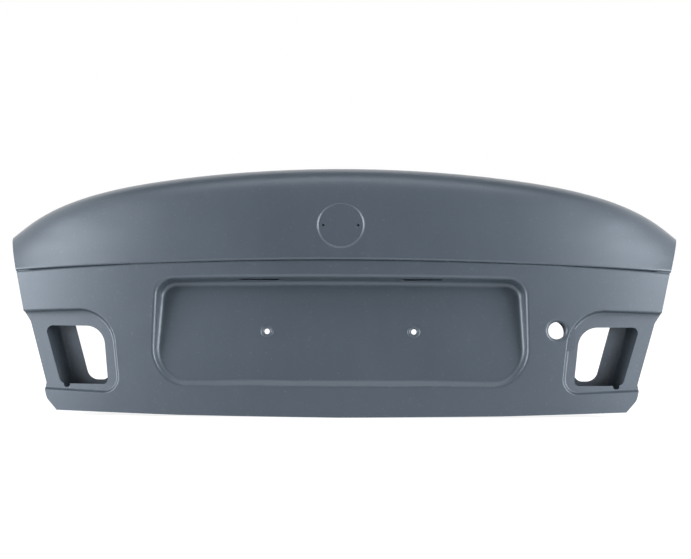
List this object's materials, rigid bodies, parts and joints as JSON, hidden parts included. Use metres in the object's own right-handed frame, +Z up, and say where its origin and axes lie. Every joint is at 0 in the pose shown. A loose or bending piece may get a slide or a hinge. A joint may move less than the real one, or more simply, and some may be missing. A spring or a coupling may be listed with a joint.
{
  "type": "car trunk lid",
  "caption": "Bare pressed-steel trunk lid for a saloon car, with plate recess, lamp seats, lock hole, hinge and latch pads on a ribbed inner frame.",
  "frame": {"origin": "centre of the four hinge bolt holes, on the lid's plane of symmetry, at the lower face of the hinge pads", "axes": "+X to the right seen from behind the car, +Y towards the car's front, +Z up with the lid closed"},
  "size_m": [1.2738, 0.5675, 0.462],
  "materials": {
    "primer_outer": "satin blue-grey dip primer",
    "primer_inner": "satin blue-grey dip primer",
    "coated_nut": "satin blue-grey dip primer over steel"
  },
  "bodies": {
    "root": {"upper_outer_panel": "primer_outer", "lower_outer_panel": "primer_outer", "inner_panel": "primer_inner", "hinge_reinforcement_right": "primer_inner", "hinge_reinforcement_left": "primer_inner", "hinge_weld_nuts": "coated_nut", "latch_reinforcement": "primer_inner", "latch_weld_nuts": "coated_nut", "lock_reinforcement": "primer_inner"}
  },
  "joints": []
}
